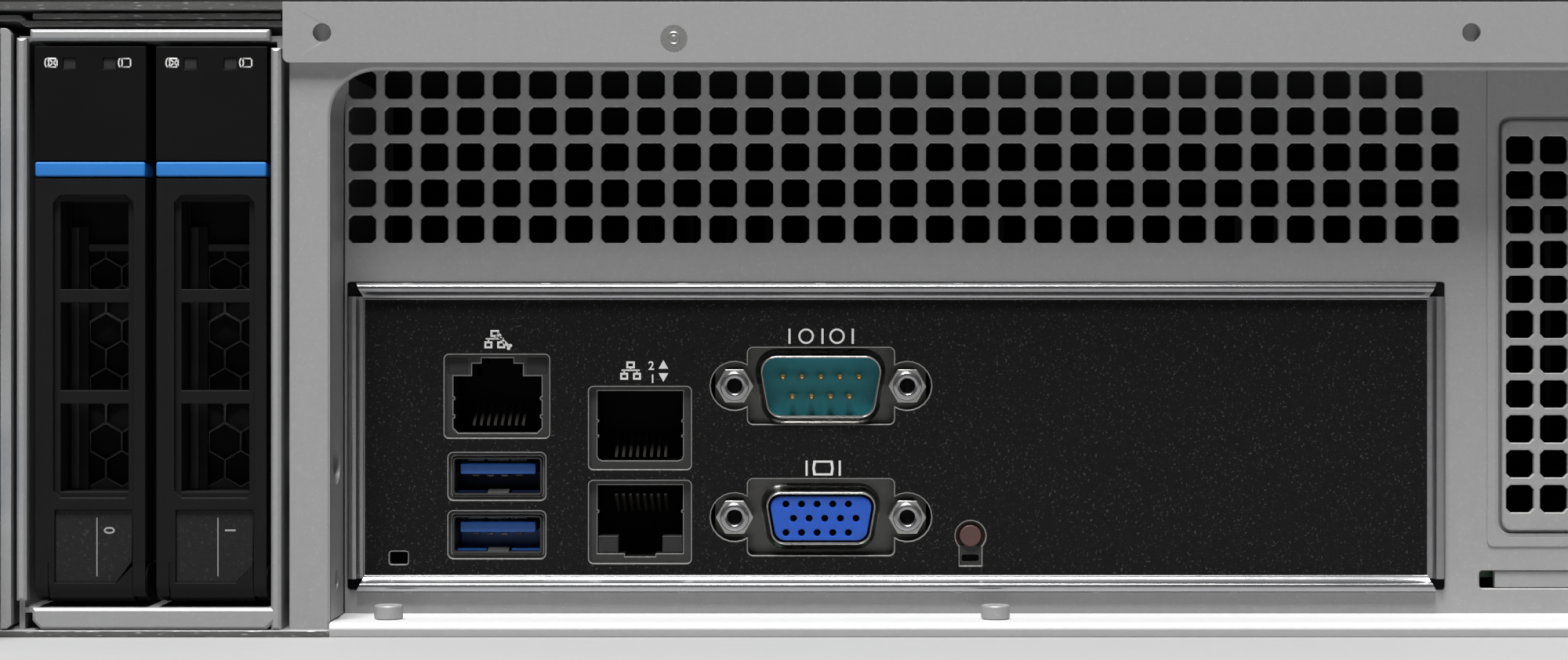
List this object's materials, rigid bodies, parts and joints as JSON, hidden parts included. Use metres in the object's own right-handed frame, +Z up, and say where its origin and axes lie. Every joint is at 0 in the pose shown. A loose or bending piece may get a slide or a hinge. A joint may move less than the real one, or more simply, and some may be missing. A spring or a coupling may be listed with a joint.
{
  "type": "rack server",
  "caption": "Rack server two units tall, with a perforated rear panel, port shield, slot covers, hot-swap drives and power supplies.",
  "frame": {"origin": "centre of the body's underside, midway along its depth without ears and handles", "axes": "+Z up, +Y from the rear ports towards the front trays, +X to the right when the rear is looked at"},
  "size_m": [0.4826, 0.71, 0.0889],
  "materials": {
    "black_film": "satin film",
    "black_paint": "satin",
    "black_plastic": "fine grain",
    "blue_plastic": "satin",
    "button_red": "satin",
    "circuit_board": "solder mask",
    "drive_aluminium": "cast",
    "galvanised_steel": "satin zinc",
    "heatsink_aluminium": "brushed",
    "jack_metal": "bright tin",
    "latch_plastic": "satin",
    "nickel": "bright nickel",
    "port_metal": "bright nickel",
    "supply_steel": "satin zinc",
    "zinc": "bright zinc"
  },
  "bodies": {
    "chassis": {"chassis_base": "galvanised_steel", "rear_panel": "galvanised_steel", "rear_frame": "galvanised_steel", "rear_brace": "galvanised_steel", "io_shield": "black_film", "slot_covers": "galvanised_steel", "psu_cage": "galvanised_steel", "rear_drive_cage": "galvanised_steel", "front_drive_cage": "galvanised_steel", "backplanes": "circuit_board", "rack_ear_left": "black_paint", "rack_ear_right": "black_paint", "front_cover": "galvanised_steel", "motherboard": "circuit_board", "cpu_heatsinks": "heatsink_aluminium", "memory_modules": "circuit_board", "expansion_sockets": "black_plastic", "lan_usb_jack": "jack_metal", "dual_lan_jack": "jack_metal", "serial_port": "port_metal", "vga_port": "port_metal", "jackscrews": "nickel", "fan_wall": "black_plastic", "air_shroud": "black_plastic", "fasteners": "zinc"},
    "rear_cover": {"rear_cover": "galvanised_steel"},
    "uid_button": {"uid_button": "button_red"},
    "power_button": {"power_button": "black_plastic"},
    "fan_rotor_1": {"fan_rotor_1": "black_plastic"},
    "fan_rotor_2": {"fan_rotor_2": "black_plastic"},
    "fan_rotor_3": {"fan_rotor_3": "black_plastic"},
    "fan_rotor_4": {"fan_rotor_4": "black_plastic"},
    "psu_1": {"psu_1": "supply_steel"},
    "psu_1_latch": {"psu_1_latch": "latch_plastic"},
    "psu_2": {"psu_2": "supply_steel"},
    "psu_2_latch": {"psu_2_latch": "latch_plastic"},
    "rear_tray_0": {"rear_tray_0": "black_plastic", "rear_drive_0": "drive_aluminium"},
    "rear_handle_0": {"rear_handle_0": "black_plastic"},
    "rear_release_0": {"rear_release_0": "blue_plastic"},
    "rear_tray_1": {"rear_tray_1": "black_plastic", "rear_drive_1": "drive_aluminium"},
    "rear_handle_1": {"rear_handle_1": "black_plastic"},
    "rear_release_1": {"rear_release_1": "blue_plastic"},
    "front_tray_1": {"front_tray_1": "black_paint"},
    "front_handle_1": {"front_handle_1": "black_plastic"},
    "front_tray_2": {"front_tray_2": "black_paint"},
    "front_handle_2": {"front_handle_2": "black_plastic"},
    "front_tray_3": {"front_tray_3": "black_paint"},
    "front_handle_3": {"front_handle_3": "black_plastic"},
    "front_tray_4": {"front_tray_4": "black_paint"},
    "front_handle_4": {"front_handle_4": "black_plastic"},
    "front_tray_5": {"front_tray_5": "black_paint"},
    "front_handle_5": {"front_handle_5": "black_plastic"},
    "front_tray_6": {"front_tray_6": "black_paint"},
    "front_handle_6": {"front_handle_6": "black_plastic"},
    "front_tray_7": {"front_tray_7": "black_paint"},
    "front_handle_7": {"front_handle_7": "black_plastic"},
    "front_tray_8": {"front_tray_8": "black_paint"},
    "front_handle_8": {"front_handle_8": "black_plastic"}
  },
  "joints": [
    {"name": "cover_lift", "type": "slide", "parent": "chassis", "child": "rear_cover", "axis": [0, 0, 1], "range_m": [0, 0.06]},
    {"name": "uid_press", "type": "slide", "parent": "chassis", "child": "uid_button", "axis": [0, 1, 0], "range_m": [0, 0.0012], "stiffness_N_per_m": 300, "springref_m": -0.001},
    {"name": "power_press", "type": "slide", "parent": "chassis", "child": "power_button", "axis": [0, -1, 0], "range_m": [0, 0.0012], "stiffness_N_per_m": 300, "springref_m": -0.001},
    {"name": "fan_spin_1", "type": "hinge", "parent": "chassis", "child": "fan_rotor_1", "pos_m": [-0.156, 0.06, 0.0425], "axis": [0, 1, 0], "continuous": true},
    {"name": "fan_spin_2", "type": "hinge", "parent": "chassis", "child": "fan_rotor_2", "pos_m": [-0.052, 0.06, 0.0425], "axis": [0, 1, 0], "continuous": true},
    {"name": "fan_spin_3", "type": "hinge", "parent": "chassis", "child": "fan_rotor_3", "pos_m": [0.052, 0.06, 0.0425], "axis": [0, 1, 0], "continuous": true},
    {"name": "fan_spin_4", "type": "hinge", "parent": "chassis", "child": "fan_rotor_4", "pos_m": [0.156, 0.06, 0.0425], "axis": [0, 1, 0], "continuous": true},
    {"name": "psu_1_slide", "type": "slide", "parent": "chassis", "child": "psu_1", "axis": [0, -1, 0], "range_m": [0, 0.19]},
    {"name": "psu_1_release", "type": "slide", "parent": "psu_1", "child": "psu_1_latch", "axis": [-1, 0, 0], "range_m": [0, 0.001], "stiffness_N_per_m": 400, "springref_m": -0.001},
    {"name": "psu_2_slide", "type": "slide", "parent": "chassis", "child": "psu_2", "axis": [0, -1, 0], "range_m": [0, 0.19]},
    {"name": "psu_2_release", "type": "slide", "parent": "psu_2", "child": "psu_2_latch", "axis": [-1, 0, 0], "range_m": [0, 0.001], "stiffness_N_per_m": 400, "springref_m": -0.001},
    {"name": "rear_tray_slide_0", "type": "slide", "parent": "chassis", "child": "rear_tray_0", "axis": [0, -1, 0], "range_m": [0, 0.125]},
    {"name": "rear_handle_swing_0", "type": "hinge", "parent": "rear_tray_0", "child": "rear_handle_0", "pos_m": [-0.1251, -0.3265, 0.0075], "axis": [1, 0, 0], "range_deg": [0, 50]},
    {"name": "rear_release_press_0", "type": "slide", "parent": "rear_tray_0", "child": "rear_release_0", "axis": [0, 1, 0], "range_m": [0, 0.001], "stiffness_N_per_m": 300, "springref_m": -0.001},
    {"name": "rear_tray_slide_1", "type": "slide", "parent": "chassis", "child": "rear_tray_1", "axis": [0, -1, 0], "range_m": [0, 0.125]},
    {"name": "rear_handle_swing_1", "type": "hinge", "parent": "rear_tray_1", "child": "rear_handle_1", "pos_m": [-0.10815, -0.3265, 0.0075], "axis": [1, 0, 0], "range_deg": [0, 50]},
    {"name": "rear_release_press_1", "type": "slide", "parent": "rear_tray_1", "child": "rear_release_1", "axis": [0, 1, 0], "range_m": [0, 0.001], "stiffness_N_per_m": 300, "springref_m": -0.001},
    {"name": "front_tray_slide_1", "type": "slide", "parent": "chassis", "child": "front_tray_1", "axis": [0, 1, 0], "range_m": [0, 0.2]},
    {"name": "front_handle_swing_1", "type": "hinge", "parent": "front_tray_1", "child": "front_handle_1", "pos_m": [-0.1104, 0.3262, 0.0164], "axis": [0, 0, -1], "range_deg": [0, 55]},
    {"name": "front_tray_slide_2", "type": "slide", "parent": "chassis", "child": "front_tray_2", "axis": [0, 1, 0], "range_m": [0, 0.2]},
    {"name": "front_handle_swing_2", "type": "hinge", "parent": "front_tray_2", "child": "front_handle_2", "pos_m": [-0.0038, 0.3262, 0.0164], "axis": [0, 0, -1], "range_deg": [0, 55]},
    {"name": "front_tray_slide_3", "type": "slide", "parent": "chassis", "child": "front_tray_3", "axis": [0, 1, 0], "range_m": [0, 0.2]},
    {"name": "front_handle_swing_3", "type": "hinge", "parent": "front_tray_3", "child": "front_handle_3", "pos_m": [0.1028, 0.3262, 0.0164], "axis": [0, 0, -1], "range_deg": [0, 55]},
    {"name": "front_tray_slide_4", "type": "slide", "parent": "chassis", "child": "front_tray_4", "axis": [0, 1, 0], "range_m": [0, 0.2]},
    {"name": "front_handle_swing_4", "type": "hinge", "parent": "front_tray_4", "child": "front_handle_4", "pos_m": [0.2094, 0.3262, 0.0164], "axis": [0, 0, -1], "range_deg": [0, 55]},
    {"name": "front_tray_slide_5", "type": "slide", "parent": "chassis", "child": "front_tray_5", "axis": [0, 1, 0], "range_m": [0, 0.2]},
    {"name": "front_handle_swing_5", "type": "hinge", "parent": "front_tray_5", "child": "front_handle_5", "pos_m": [-0.1104, 0.3262, 0.046], "axis": [0, 0, -1], "range_deg": [0, 55]},
    {"name": "front_tray_slide_6", "type": "slide", "parent": "chassis", "child": "front_tray_6", "axis": [0, 1, 0], "range_m": [0, 0.2]},
    {"name": "front_handle_swing_6", "type": "hinge", "parent": "front_tray_6", "child": "front_handle_6", "pos_m": [-0.0038, 0.3262, 0.046], "axis": [0, 0, -1], "range_deg": [0, 55]},
    {"name": "front_tray_slide_7", "type": "slide", "parent": "chassis", "child": "front_tray_7", "axis": [0, 1, 0], "range_m": [0, 0.2]},
    {"name": "front_handle_swing_7", "type": "hinge", "parent": "front_tray_7", "child": "front_handle_7", "pos_m": [0.1028, 0.3262, 0.046], "axis": [0, 0, -1], "range_deg": [0, 55]},
    {"name": "front_tray_slide_8", "type": "slide", "parent": "chassis", "child": "front_tray_8", "axis": [0, 1, 0], "range_m": [0, 0.2]},
    {"name": "front_handle_swing_8", "type": "hinge", "parent": "front_tray_8", "child": "front_handle_8", "pos_m": [0.2094, 0.3262, 0.046], "axis": [0, 0, -1], "range_deg": [0, 55]}
  ]
}
